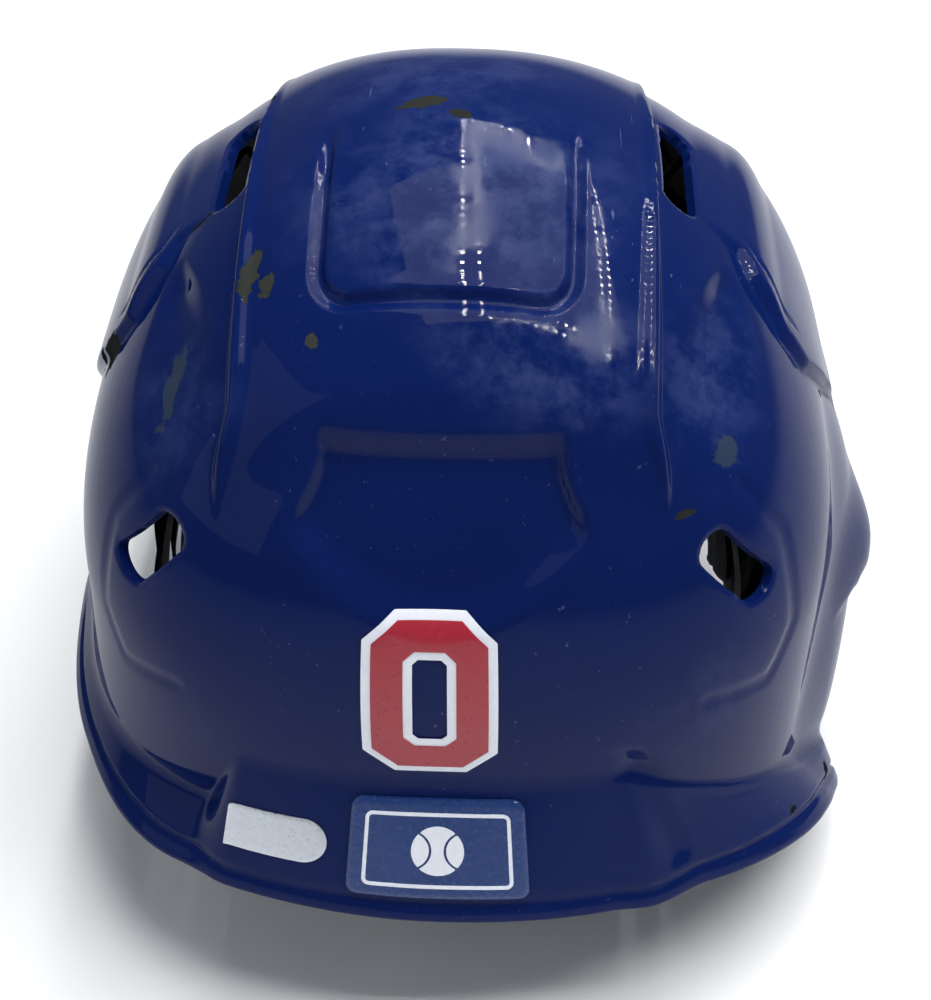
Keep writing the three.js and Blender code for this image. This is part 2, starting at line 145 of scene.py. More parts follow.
def body_point(angle, tilt):
    """Smooth outer face without its lip: tilt 0 is the crown, 90 the equator, more goes down the wall."""
    t = np.radians(np.minimum(tilt, 90))
    plan = plan_power(angle)
    power = 2 + (plan - 2) * np.sin(t)
    pull = 1 - SHOULDER * np.sin(2 * t)**2
    dome = polar(angle, plan_radius(angle, power) * np.sin(t) * pull,
                 EQUATOR + (CROWN - EQUATOR) * np.cos(t) * pull)
    z = EQUATOR - (np.maximum(tilt, 90) - 90) * WALL_PER_DEGREE
    wall = polar(angle, wall_radius(angle, z), z)
    return np.where((np.asarray(tilt) > 90)[..., None], wall, dome)


def skin_point(angle, station):
    """Outer face down to the free edge: station 0 to 1 dome, to 2 wall, to 3 bend, to 4 lip."""
    angle, station = np.broadcast_arrays(np.asarray(angle, float), np.asarray(station, float))
    height, out, drop, _, bend = edge_at(angle)
    corner_z = height + drop
    bend = np.minimum(bend, EQUATOR - corner_z - LEAST_WALL)
    wall_end = corner_z + bend
    dome = body_point(angle, 90 * np.clip(station, 0, 1))
    wall_z = EQUATOR + (wall_end - EQUATOR) * np.clip(station - 1, 0, 1)
    wall = polar(angle, wall_radius(angle, wall_z), wall_z)
    foot = polar(angle, wall_radius(angle, wall_end), wall_end)
    corner = polar(angle, wall_radius(angle, corner_z), corner_z)
    tip = polar(angle, wall_radius(angle, corner_z) + out, height)
    lip_start = corner + (tip - corner) * (bend / np.linalg.norm(tip - corner, axis=-1))[..., None]
    t = np.clip(station - 2, 0, 1)[..., None]
    curve = foot * (1 - t)**2 + corner * 2 * t * (1 - t) + lip_start * t**2
    u = np.clip(station - 3, 0, 1.2)[..., None]
    lip = lip_start + (tip - lip_start) * u
    s = station[..., None]
    return np.where(s <= 1, dome, np.where(s <= 2, wall, np.where(s <= 3, curve, lip)))


def normals(face, angle, station):
    """Outward unit normals of a face given by two parameters."""
    da = face(angle + 0.1, station) - face(angle - 0.1, station)
    ds = face(angle, station + 0.001) - face(angle, station - 0.001)
    n = np.cross(da, ds)
    length = np.linalg.norm(n, axis=-1, keepdims=True)
    up = np.zeros_like(n) + (0, 0, 1)
    return np.where(length > 1e-7, n / np.maximum(length, 1e-12), up)


# --------------------------------------------------------------------------- moulded relief
RIB_SIDE, RIB_FLARE, RIB_HEIGHT = 51.6, 5, 1.8
BAND_HEIGHT = 3.2
PANEL_HEIGHT = 2.6
# Rear edge of each side panel: height and place along y.
PANEL_REAR = ((130, 8), (147, -8), (165, -25), (177, -26), (189, -19), (193, -12), (205, -9))
DIMPLE_DEPTH = 2.4
POCKET_HALF_WIDTH, POCKET_REAR, POCKET_FRONT = 31.5, -61.5, -10
POCKET_GROOVE, POCKET_FLOOR, GROOVE_HALF = 2.2, 0.8, 2.6
ARCH_TOP, ARCH_SHOULDER, ARCH_FOOT = 187, 160, 141
ARCH_HALF_TOP, ARCH_HALF_WIDE = 32, 40
ARCH_DEPTH = 4.0
ARCH_BEVEL = 6
EAR_Y, EAR_Z, EAR_HALF_LENGTH, EAR_HALF_HEIGHT, EAR_HEIGHT = 4, 58, 68, 90, 13
HOOD_HEIGHT, HOOD_Y, HOOD_HALF_LENGTH = 5, -8, 34
# Line where the thicker flange of the ear-flap side begins: angle and height along it.
FLANGE_LINE = ((110, 30), (130, 60), (155, 90))
FLANGE_RISE = 1.5
CREASE_DEPTH, CREASE_HALF = 0.5, 4
VALLEY_DEPTH, VALLEY_HALF = 1.5, 7


# Lines on the face by angle and station: the crease round each rear vent, and the valley into the flange.
VENT_CREASE = skin_point(*np.transpose([(135, 0.7), (130, 0.8), (130, 0.95), (135, 1.1), (145, 1.0)]))
LIP_VALLEY = skin_point(*np.transpose([(160, 1.2), (155, 1.7), (150, 3.6)]))


def hump(t):
    """Smooth hump of height 1 that ends at t = -1 and 1."""
    return np.clip(1 - t * t, 0, 1)**2


def line_distance(p, corners):
    """Distance to a line through corners, which are given with x positive and hold for both sides."""
    q = np.stack([np.abs(p[..., 0]), p[..., 1], p[..., 2]], -1)
    nearest = np.full(q.shape[:-1], 1e9)
    for a, b in zip(np.array(corners, float), np.array(corners[1:], float)):
        t = np.clip((q - a) @ (b - a) / ((b - a) @ (b - a)), 0, 1)
        nearest = np.minimum(nearest, np.linalg.norm(q - a - t[..., None] * (b - a), axis=-1))
    return nearest


def band_relief(side, y):
    """Raised centre band of the crown, with a rib along each edge that flares and ends at the rear."""
    rib = RIB_SIDE + RIB_FLARE * ramp(-74, -90, y)
    width = 2.4 + 1.4 * ramp(0, -70, y) - 2.6 * ramp(-80, -92, y)
    step = 1 - ramp(rib - 1, rib + width, side)
    bead = RIB_HEIGHT * hump((side - rib + 0.6) / width) * (1 - 0.8 * ramp(0, 45, y))
    return (BAND_HEIGHT * step * (1 - 0.4 * ramp(10, 60, y)) + bead) * (1 - ramp(-78, -93, y))


def panel_relief(side, y, z):
    """Raised side panels outside the top vents, ending at the rear in a stepped edge and a dimple."""
    rear = np.interp(z, *zip(*PANEL_REAR))
    raised = ramp(65, 80, side) * ramp(rear - 2, rear + 2, y) * ramp(122, 142, z)
    ridge = 1.2 * hump((side - 82) / 7) * raised
    groove = 0.5 * hump((y - rear - 7) / 1.3) * ramp(170, 174, z) * ramp(194, 190, z)
    width = 3 + 10 * ramp(-20, -56, y)
    middle = 74 + 0.12 * (y + 22)
    dimple = hump((side - middle) / width) * ramp(-21, -34, y) * (1 - ramp(-58, -80, y))
    return PANEL_HEIGHT * raised + ridge - groove * raised - DIMPLE_DEPTH * dimple


def pocket_relief(side, y):
    """Shallow pocket in the crown with a groove along its sides and rear."""
    corner = 9
    from_edge = np.hypot(np.maximum(side - POCKET_HALF_WIDTH + corner, 0),
                         np.maximum(POCKET_REAR + corner - y, 0)) - corner
    front = 1 - ramp(POCKET_FRONT - 10, POCKET_FRONT + 6, y)
    groove = POCKET_GROOVE * hump(from_edge / GROOVE_HALF) * front
    return groove + POCKET_FLOOR * (1 - ramp(-6, 0, from_edge)) * front


def arch_relief(side, y, z):
    """Arched recess at the rear: a bevel over its top and sides, fading out above the number."""
    half = ARCH_HALF_TOP + (ARCH_HALF_WIDE - ARCH_HALF_TOP) * ramp(ARCH_TOP - ARCH_BEVEL, ARCH_SHOULDER, z)
    foot = ARCH_FOOT + 19 * (side / 35)**2
    sides = 1 - ramp(half - 4, half, side)
    top = 1 - ramp(ARCH_TOP - ARCH_BEVEL, ARCH_TOP, z)
    return ARCH_DEPTH * sides * top * ramp(foot - 2, foot + 12, z) * ramp(-60, -80, y)


def ear_relief(x, y, z):
    """Bulge of the ear flap, with a hood over the ear hole."""
    ear = np.hypot((y - EAR_Y) / EAR_HALF_LENGTH, (z - EAR_Z) / EAR_HALF_HEIGHT)
    hood = HOOD_HEIGHT * ramp(112, 90, z) * ramp(83.5, 86.5, z) * hump((y - HOOD_Y) / HOOD_HALF_LENGTH)
    return np.where(x > 0, EAR_HEIGHT * (1 - ramp(0.3, 1, ear)) + hood, 0)


def flange_relief(p):
    """Thicker flange under a stepped line, on the ear-flap side of the rear lip."""
    angle = np.degrees(np.arctan2(p[..., 0], p[..., 1]))
    line = np.interp(angle, *zip(*FLANGE_LINE))
    below = ramp(line + 1.2, line - 1.2, p[..., 2])
    return FLANGE_RISE * below * ramp(106, 114, angle) * ramp(159, 154, angle)


def relief(p):
    """Height of the moulded relief above the smooth face at points of that face."""
    x, y, z = p[..., 0], p[..., 1], p[..., 2]
    side = np.abs(x)
    face = 1 - ramp(150, 128, z) * ramp(0, 40, y)
    valley = VALLEY_DEPTH * hump(line_distance(p, LIP_VALLEY) / VALLEY_HALF)
    valley = valley * ramp(52, 68, z) * ramp(104, 92, z)
    creases = CREASE_DEPTH * hump(line_distance(p, VENT_CREASE) / CREASE_HALF) + np.where(x > 0, valley, 0)
    raised = (band_relief(side, y) + panel_relief(side, y, z)) * face + ear_relief(x, y, z) + flange_relief(p)
    return raised - creases - pocket_relief(side, y) - arch_relief(side, y, z)


RIM_GROOVE, RIM_GROOVE_AT, RIM_GROOVE_HALF = 0.9, 6.2, 1.8


def rim_groove(angle, station):
    """Depth of the groove that runs above the rolled edge of the rear lip and the sides."""
    _, out, drop, _, bend = edge_at(angle)
    from_edge = (4 - station) * (np.hypot(out, drop) - bend)
    return RIM_GROOVE * hump((from_edge - RIM_GROOVE_AT) / RIM_GROOVE_HALF) * ramp(96, 108, np.abs(angle))


def shell_point(angle, station, lift=0.0):
    """Shell's outer face with its relief, moved along the normal by a lift (negative goes inwards)."""
    base = skin_point(angle, station)
    normal = normals(skin_point, angle, station)
    upright = 1 - ramp(0.35, 0.6, np.abs(normal[..., 2]))
    normal[..., 2] *= np.where(np.asarray(station) > 1, 1 - upright, 1)
    normal /= np.linalg.norm(normal, axis=-1, keepdims=True)
    return base + normal * (relief(base) + lift)[..., None]


# --------------------------------------------------------------------------- holes through the shell
TOP_VENT_X, TOP_VENT_Y, TOP_VENT_HALF, TOP_VENT_RADIUS = 60.8, 8.8, 17.5, 4.5
REAR_VENT_X, REAR_VENT_Z, REAR_VENT_HALF, REAR_VENT_RADIUS, REAR_VENT_SLOPE = 76, 147.3, 9.3, 4.2, 49
EAR_HOLE_RADIUS = 17
HOLE_FILLET = 1.0


def slot_distance(u, v, half, radius):
    """Signed distance to a slot along u with round ends: negative inside."""
    return np.hypot(np.maximum(np.abs(u) - half, 0), v) - radius


def hole_distance(p):
    """Signed distance to the nearest vent or the ear hole, seen along each hole's axis; 99 is far away."""
    x, y, z = p[..., 0], p[..., 1], p[..., 2]
    side = np.abs(x)
    top = slot_distance(y - TOP_VENT_Y, side - TOP_VENT_X, TOP_VENT_HALF, TOP_VENT_RADIUS)
    top = np.where(z > 150, top, 99)
    c, s = math.cos(math.radians(REAR_VENT_SLOPE)), math.sin(math.radians(REAR_VENT_SLOPE))
    u = (side - REAR_VENT_X) * c - (z - REAR_VENT_Z) * s
    v = (side - REAR_VENT_X) * s + (z - REAR_VENT_Z) * c
    rear = np.where(y < -20, slot_distance(u, v, REAR_VENT_HALF, REAR_VENT_RADIUS), 99)
    ear = np.where(x > 0, np.hypot(y - EAR_Y, z - EAR_Z) - EAR_HOLE_RADIUS, 99)
    return np.minimum(np.minimum(top, rear), ear)


def hole_fillet(distance):
    """How far the face sinks beside a hole, so that the hole's edge is rounded."""
    t = np.clip(1 - distance / HOLE_FILLET, 0, 1)
    return HOLE_FILLET * (1 - np.sqrt(1 - t * t)) * 0.8


# --------------------------------------------------------------------------- meshes
def to_row(points):
    """Design millimetres to the frame's metres."""
    return (np.asarray(points, float) - MIDDLE) * MM


def add_mesh(name, points, faces, material, sharp=None):
    """Mesh object from design points and polygons, smooth shaded, riding on the helmet's one body."""
    mesh = bpy.data.meshes.new(name)
    mesh.from_pydata(to_row(points).tolist(), [], faces)
    mesh.validate()
    mesh.shade_smooth()
    if sharp:
        mesh.set_sharp_from_angle(angle=math.radians(sharp))
    piece = bpy.data.objects.new(name, mesh)
    bpy.context.scene.collection.objects.link(piece)
    piece.data.materials.append(material)
    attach(piece, "root")
    return piece


def clip_grid(keep, wrap=False):
    """Polygons of a grid where the field keep is positive, cut along its zero line.

    Returns the cut points as rows (first grid vertex, second, share of the second), the polygons, and the cut
    edges in the polygons' direction.
    """
    rows, columns = keep.shape
    index = np.arange(rows * columns).reshape(rows, columns)
    if wrap:
        index = np.hstack([index, index[:, :1]])
    a, b = index[:-1], index[1:]
    quads = np.stack([a[:, :-1], a[:, 1:], b[:, 1:], b[:, :-1]], -1).reshape(-1, 4)
    flat = keep.ravel()
    inside = flat[quads] > 0
    cuts, polygons, rims = {}, quads[inside.all(1)].tolist(), []

    def cut_point(i, j):
        low, high = min(i, j), max(i, j)
        if (low, high) not in cuts:
            cuts[low, high] = (rows * columns + len(cuts), flat[low] / (flat[low] - flat[high]))
        return cuts[low, high][0]

    for quad in quads[inside.any(1) & ~inside.all(1)].tolist():
        polygon, crossed = [], []
        for i, j in zip(quad, quad[1:] + quad[:1]):
            if flat[i] > 0:
                polygon.append(i)
            if (flat[i] > 0) != (flat[j] > 0):
                crossed.append(cut_point(i, j))
                polygon.append(crossed[-1])
        polygons.append(polygon)
        if len(crossed) == 2:
            follows = polygon[(polygon.index(crossed[0]) + 1) % len(polygon)] == crossed[1]
            rims.append(tuple(crossed) if follows else tuple(crossed[::-1]))
    between = [(low, high, share) for (low, high), (_, share) in cuts.items()]
    return between, polygons, rims


def with_cuts(points, between):
    """Grid points as a flat list, followed by the cut points between them."""
    flat = points.reshape(-1, 3)
    if not between:
        return flat
    low, high, share = (np.array(column) for column in zip(*between))
    return np.vstack([flat, flat[low] + (flat[high] - flat[low]) * share[:, None]])


def wall_faces(rims, offset):
    """Quads that join each cut edge to its copy, offset vertices further on."""
    return [(q, p, p + offset, q + offset) for p, q in rims]


def slab(name, place, us, vs, keep, high, low, material, sharp=50):
    """Closed sheet over the part of a u, v grid where keep (millimetres inside the outline) is positive.

    high and low give the lifts of its two faces from keep, u and v.
    """
    u, v = np.meshgrid(us, vs)
    inside = keep(u, v)
    between, polygons, rims = clip_grid(inside)
    depth = np.maximum(inside, 0)
    top = with_cuts(place(u, v, high(depth, u, v)), between)
    bottom = with_cuts(place(u, v, low(depth, u, v)), between)
    count = len(top)
    faces = polygons + [[i + count for i in reversed(f)] for f in polygons] + wall_faces(rims, count)
    piece = add_mesh(name, np.vstack([top, bottom]), faces, material, sharp)
    loose_off(piece)
    return piece


def loose_off(piece):
    """Removes grid vertices that no face uses."""
    used = np.zeros(len(piece.data.vertices), bool)
    corner = np.empty(len(piece.data.loops), int)
    piece.data.loops.foreach_get("vertex_index", corner)
    used[corner] = True
    if used.all():
        return
    mesh = bmesh.new()
    mesh.from_mesh(piece.data)
    mesh.verts.ensure_lookup_table()
    bmesh.ops.delete(mesh, geom=[mesh.verts[i] for i in np.flatnonzero(~used)], context="VERTS")
    mesh.to_mesh(piece.data)
    mesh.free()


# --------------------------------------------------------------------------- materials
class Nodes:
    """Short names for building one material's node tree."""

    def __init__(self, name):
        self.material = bpy.data.materials.new(name)
        self.material.use_nodes = True
        self.tree = self.material.node_tree
        self.shader = self.tree.nodes["Principled BSDF"]
        self.object = self.add("ShaderNodeTexCoord").outputs["Object"]

    def add(self, kind, **settings):
        node = self.tree.nodes.new(kind)
        for key, value in settings.items():
            setattr(node, key, value)
        return node

    def link(self, source, target):
        self.tree.links.new(source, target)

    def feed(self, node, values):
        for key, value in values.items():
            socket = node.inputs[key]
            if isinstance(value, bpy.types.NodeSocket):
                self.link(value, socket)
            else:
                socket.default_value = value

    def noise(self, scale, detail=4, rough=0.55, vector=None):
        node = self.add("ShaderNodeTexNoise")
        self.feed(node, {"Vector": vector or self.object, "Scale": scale, "Detail": detail, "Roughness": rough})
        return node.outputs["Fac"]

    def scaled(self, scale, rotation):
        node = self.add("ShaderNodeMapping")
        self.feed(node, {"Vector": self.object, "Scale": scale, "Rotation": rotation})
        return node.outputs["Vector"]

    def math(self, kind, a, b=0.5, clamp=False):
        node = self.add("ShaderNodeMath", operation=kind, use_clamp=clamp)
        self.feed(node, {0: a, 1: b})
        return node.outputs[0]

    def step(self, value, low, high, to_low=0.0, to_high=1.0):
        node = self.add("ShaderNodeMapRange", interpolation_type="SMOOTHSTEP")
        self.feed(node, {"Value": value, "From Min": low, "From Max": high})
        self.feed(node, {"To Min": to_low, "To Max": to_high})
        return node.outputs["Result"]

    def mix(self, factor, a, b):
        node = self.add("ShaderNodeMix", data_type="RGBA")
        node.inputs["Factor"].default_value = 0.0
        for socket, value in ((node.inputs["Factor"], factor), (node.inputs[6], a), (node.inputs[7], b)):
            if isinstance(value, bpy.types.NodeSocket):
                self.link(value, socket)
            else:
                socket.default_value = value
        return node.outputs[2]

    def bump(self, height, strength, distance, normal=None):
        node = self.add("ShaderNodeBump")
        self.feed(node, {"Height": height, "Strength": strength, "Distance": distance})
        if normal:
            self.link(normal, node.inputs["Normal"])
        return node.outputs["Normal"]

    def finish(self, **values):
        self.feed(self.shader, {key.replace("_", " "): value for key, value in values.items()})
        return self.material


def rgb(red, green, blue):
    """sRGB bytes to the linear colour that a shader takes."""
    return tuple((c / 255 / 12.92 if c <= 10 else ((c / 255 + 0.055) / 1.055)**2.4)
                 for c in (red, green, blue)) + (1.0,)


# Wear lies on the shell's face, placed by angle and station in coarse steps.
# Chips in the paint: angle, station, half sizes, turn in degrees, how dark the bared layer is.
CHIPS = (
    (-135, 0.4, (3, 8, 8), -10, 0.25),
    (-140, 0.4, (3, 3, 5), 40, 0.25),
    (-105, 0.7, (4, 5, 9), 25, 0.75),
    (-100, 0.75, (3, 3, 4), 0, 1.0),
    (-120, 0.05, (7, 3, 5), 10, 0.6),
    (170, 0.05, (5, 2, 5), -20, 0.7),
    (-60, 0.35, (2, 7, 5), 10, 1.0),
    (-70, 0.35, (1, 9, 5), 10, 1.0),
    (-100, 0.45, (8, 1, 6), 10, 1.0),
    (-155, 0.45, (2, 2, 3), 0, 0.0),
    (130, 3.5, (3, 3, 1), 0, 1.0),
    (115, 3.5, (3, 6, 2), 20, 1.0),
    (145, 0.7, (4, 3, 1), 0, 0.75),
)
# Marks rubbed onto the paint: angle, station, half sizes, turn.
RUBS = ((-130, 0.6, (3, 12, 13), -15), (135, 0.65, (5, 5, 5), 0))
# Areas dulled by handling: angle, station, half sizes, strength.
SCUFFS = (
    (165, 0.2, (60, 45, 35), 1.0),
    (160, 0.45, (35, 25, 25), 1.0),
    (130, 0.55, (20, 35, 30), 0.9),
    (-25, 0.1, (45, 35, 20), 0.7),
    (-135, 0.6, (25, 25, 30), 0.5),
    (145, 1.0, (25, 20, 20), 0.5),
    (-115, 0.9, (20, 35, 40), 0.4),
)
# Fine scratches: turn of their direction in degrees, and scale.
SCRATCHES = ((20, 90), (75, 120), (-35, 70))


def spot(n, angle, station, half, turn, grain, warp):
    """Distance from a point of the shell face, 1 on an ellipsoid round it, made ragged by a grain."""
    centre = shell_point(angle, station)
    place = n.add("ShaderNodeMapping", vector_type="TEXTURE")
    n.feed(place, {"Vector": n.object, "Location": tuple(to_row(centre)), "Scale": tuple(h * MM for h in half)})
    n.feed(place, {"Rotation": (0, 0, math.radians(turn))})
    length = n.add("ShaderNodeVectorMath", operation="LENGTH")
    n.link(place.outputs["Vector"], length.inputs[0])
    ragged = n.math("MULTIPLY", n.math("SUBTRACT", grain, 0.5), warp)
    return n.math("ADD", length.outputs["Value"], ragged)


def any_of(n, masks):
    """Highest of several masks."""
    total = masks[0]
    for mask in masks[1:]:
        total = n.math("MAXIMUM", total, mask)
    return total


COAT_WEIGHT, COAT_IOR = 0.46, 1.3


def paint_material():
    """Royal blue paint under clear coat, with chips, rubbed marks, dulled areas and fine scratches."""
    n = Nodes("shell_paint")
    ragged = n.noise(190, 5, 0.65)
    mottle = n.noise(75, 7, 0.68)
    cloud = n.noise(24, 4, 0.6)
    chip_masks = [n.step(spot(n, *row[:4], ragged, 2.6), 0.86, 0.8) for row in CHIPS]
    chips = any_of(n, chip_masks)
    dark = any_of(n, [n.math("MULTIPLY", mask, row[4]) for mask, row in zip(chip_masks, CHIPS)])
    rubs = any_of(n, [n.step(spot(n, *row, ragged, 2.4), 1.0, 0.7) for row in RUBS])
    areas = any_of(n, [n.math("MULTIPLY", n.step(spot(n, *place, 0, cloud, 1.2), 1.1, 0.3), strength)
                       for *place, strength in SCUFFS])
    haze = n.math("MULTIPLY", areas, n.step(mottle, 0.38, 0.66), clamp=True)
    scratches = any_of(n, [scratch_lines(n, turn, scale) for turn, scale in SCRATCHES])
    scratches = n.math("MULTIPLY", scratches, n.step(cloud, 0.42, 0.62))
    specks = n.step(n.noise(520, 2, 0.5), 0.86, 0.88)
    specks = n.math("MULTIPLY", specks, n.step(cloud, 0.56, 0.66))
    base = n.mix(cloud, rgb(5, 21, 70), rgb(9, 27, 80))
    base = n.mix(n.math("MULTIPLY", haze, 0.22), base, rgb(80, 94, 138))
    base = n.mix(n.math("MULTIPLY", n.math("MAXIMUM", scratches, specks), 0.22), base, rgb(130, 142, 172))
    base = n.mix(n.math("MULTIPLY", rubs, 0.55), base, rgb(52, 62, 62))
    primer = n.mix(mottle, rgb(30, 34, 33), rgb(66, 68, 62))
    composite = n.mix(mottle, rgb(10, 12, 16), rgb(34, 36, 34))
    base = n.mix(chips, base, n.mix(dark, primer, composite))
    rough = n.math("ADD", n.math("MULTIPLY", haze, 0.25), n.math("MULTIPLY", chips, 0.35))
    rough = n.math("ADD", rough, n.math("MULTIPLY", mottle, 0.08))
    coat_rough = n.math("MULTIPLY", haze, 0.2)
    uncoated = n.math("MAXIMUM", chips, n.math("MULTIPLY", rubs, 0.5))
    coat = n.math("MULTIPLY", n.math("SUBTRACT", 1.0, uncoated), COAT_WEIGHT)
    worn = n.math("ADD", n.math("MULTIPLY", chips, -1.0), n.math("MULTIPLY", scratches, -0.05))
    worn = n.math("ADD", worn, n.math("MULTIPLY", mottle, 0.03))
    peel = n.bump(n.noise(55, 2), 0.04, 0.001)
    return n.finish(
        Base_Color=base, Roughness=n.math("ADD", rough, 0.26), Specular_IOR_Level=0.0, Coat_Weight=coat,
        Coat_IOR=COAT_IOR, Coat_Roughness=n.math("ADD", coat_rough, 0.006),
        Normal=n.bump(worn, 0.7, 0.0005, peel), Coat_Normal=n.bump(worn, 0.35, 0.0004, peel),
    )


def scratch_lines(n, turn, scale):
    """Thin broken lines in one direction."""
    turned = n.scaled((scale, scale * 0.03, scale), rotation=(0.4, 0.2, math.radians(turn)))
    return n.step(n.noise(6, 2, 0.5, vector=turned), 0.74, 0.77)


def plain_material(name, low, high, roughness, scale=600.0, strength=0.2, **extra):
    """Moulded or sheet material with grain in its colour, roughness and surface."""
    n = Nodes(name)
    grain = n.noise(scale, 4)
    rough = n.step(grain, 0.3, 0.7, roughness - 0.06, roughness + 0.06)
    return n.finish(
        Base_Color=n.mix(grain, low, high), Roughness=rough, Normal=n.bump(grain, strength, 0.0004), **extra,
    )


# --------------------------------------------------------------------------- the shell
COLUMNS = 640
DOME_ROWS, WALL_ROWS, BEND_ROWS, LIP_ROWS = 170, 44, 8, 26
EDGE_STEPS = (30, 60, 90, 120, 150)


def shell_stations():
    """Stations of the shell's rows by column, ending where the rounded edge takes over."""
    angle = np.linspace(-180, 180, COLUMNS, endpoint=False)
    _, out, drop, _, bend = edge_at(angle)
    last = 4 - WALL / 2 / (np.hypot(out, drop) - bend)
    dome = np.linspace(0, 1, DOME_ROWS + 1)[1:]
    wall = 1 + np.linspace(0, 1, WALL_ROWS + 1)[1:]
    bend_rows = 2 + np.linspace(0, 1, BEND_ROWS + 1)[1:]
    above = np.repeat(np.concatenate([dome, wall, bend_rows])[:, None], COLUMNS, 1)
    lip = 3 + np.linspace(0, 1, LIP_ROWS + 1)[1:, None] * (last - 3)
    return np.broadcast_to(angle, (len(above) + LIP_ROWS, COLUMNS)), np.vstack([above, lip])


def build_shell(paint, raw):
    """Painted outer face, bare inner face and the rounded edge between them, as one closed mesh."""
    angle, station = shell_stations()
    smooth = skin_point(angle, station)
    distance = hole_distance(smooth)
    between, polygons, rims = clip_grid(distance, wrap=True)
    outer = shell_point(angle, station, -hole_fillet(distance) - rim_groove(angle, station))
    inner = shell_point(angle, station, -WALL)
    rows = len(station)
    top_z = CROWN + float(relief(np.array((0.0, 0.0, CROWN))))
    poles = [(0, 0, top_z), (0, 0, top_z - WALL)]
    top, bottom = with_cuts(outer, between), with_cuts(inner, between)
    count = len(top)
    middle, half = (outer[-1] + inner[-1]) / 2, (outer[-1] - inner[-1]) / 2
    down = outer[-1] - outer[-2]
    down *= np.linalg.norm(half, axis=-1, keepdims=True) / np.linalg.norm(down, axis=-1, keepdims=True)
    bead = [middle + half * math.cos(math.radians(a)) + down * math.sin(math.radians(a)) for a in EDGE_STEPS]
    points = np.vstack([top, bottom, *bead, poles])
    last_row = (rows - 1) * COLUMNS
    loops = [last_row, *(2 * count + k * COLUMNS for k in range(len(EDGE_STEPS))), count + last_row]
    next_column = (np.arange(COLUMNS) + 1) % COLUMNS
    columns = list(enumerate(next_column.tolist()))
    painted = polygons + [(a + i, a + j, b + j, b + i) for a, b in zip(loops, loops[1:]) for i, j in columns]
    outer_pole = len(points) - 2
    painted += [(outer_pole, j, i) for i, j in columns]
    painted += wall_faces(rims, count)
    bare = [[i + count for i in reversed(f)] for f in polygons]
    bare += [(outer_pole + 1, count + i, count + j) for i, j in columns]
    shell = add_mesh("shell_skin", points, painted + bare, paint)
    shell.data.materials.append(raw)
    shell.data.polygons.foreach_set("material_index", [0] * len(painted) + [1] * len(bare))
    shell.data.set_sharp_from_angle(angle=math.radians(55))
    loose_off(shell)
    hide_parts("shell")
    return shell


paint = paint_material()
raw = plain_material("raw_composite", rgb(22, 23, 26), rgb(34, 36, 40), 0.5, scale=300)
build_shell(paint, raw)

# --------------------------------------------------------------------------- liner, pads and strips
LINER_FACE = -6.6
END_LINER, SIDE_LINER, CROWN_LINER, FLAP_LINER = -14, -21, -19, -13.5
FLAP_LINER_FACE = -WALL - 2.4
STRIP_GAP, STRIP_THICKNESS, PAD_GAP, STRIP_SHARE = 1.3, 1.2, 0.4, 0.6
THIN_PAD, SIDE_PAD = 7, 9
EAR_RECESS_RADIUS = 25


def body_patch(angles, tilts):
    """Place on the smooth body from u, v in -1..1 between two angles and two tilts, with a lift."""
    def place(u, v, lift):
        angle = angles[0] + (angles[1] - angles[0]) * (u + 1) / 2
        tilt = tilts[0] + (tilts[1] - tilts[0]) * (v + 1) / 2
        return body_point(angle, tilt) + normals(body_point, angle, tilt) * lift[..., None]
    return place


def crown_patch(xs, ys):
    """Place over the crown from u, v in -1..1 between two x and two y."""
    def place(u, v, lift):
        x = xs[0] + (xs[1] - xs[0]) * (u + 1) / 2
        y = ys[0] + (ys[1] - ys[0]) * (v + 1) / 2
        angle = np.degrees(np.arctan2(x, y))
        tilt = np.maximum(np.degrees(np.arcsin(np.hypot(x, y) / plan_radius(angle, 2.2))), 0.5)
        return body_point(angle, tilt) + normals(body_point, angle, tilt) * lift[..., None]
    return place


def skirt_patch(angles, stations):
    """Place behind the moulded face between two angles and two stations, for the ear flap."""
    def place(u, v, lift):
        angle = angles[0] + (angles[1] - angles[0]) * (u + 1) / 2
        station = stations[0] + (stations[1] - stations[0]) * (v + 1) / 2
        return shell_point(angle, station, lift)
    return place


def patch_size(place):
    """Half length and half width of a patch in millimetres, measured along its middle lines."""
    t = np.linspace(-1, 1, 21)
    zero = np.zeros_like(t)
    along_u, along_v = place(t, zero, zero), place(zero, t, zero)
    return [np.linalg.norm(np.diff(line, axis=0), axis=1).sum() / 2 for line in (along_u, along_v)]


def rounded_block(name, place, corner, high, low, material, pitch, share=1.0):
    """Closed block on a patch, a rounded rectangle in plan.

    high and low give the lifts of its two faces from the distance inside its outline and the place along and
    across it, all in millimetres.
    """
    half_u, half_v = patch_size(place)
    u_axis = np.linspace(-share, share, max(12, int(2 * half_u * share / pitch)))
    v_axis = np.linspace(-share, share, max(12, int(2 * half_v * share / pitch)))

    def keep(u, v):
        x, y = np.abs(u) * half_u, np.abs(v) * half_v
        qx, qy = x - (half_u * share - corner), y - (half_v * share - corner)
        inside = np.minimum(np.maximum(qx, qy), 0) + np.hypot(np.maximum(qx, 0), np.maximum(qy, 0)) - corner
        return 0.02 - inside

    return slab(name, place, u_axis, v_axis, keep, lambda d, u, v: high(d, u * half_u, v * half_v),
                lambda d, u, v: low(d, u * half_u, v * half_v), material)


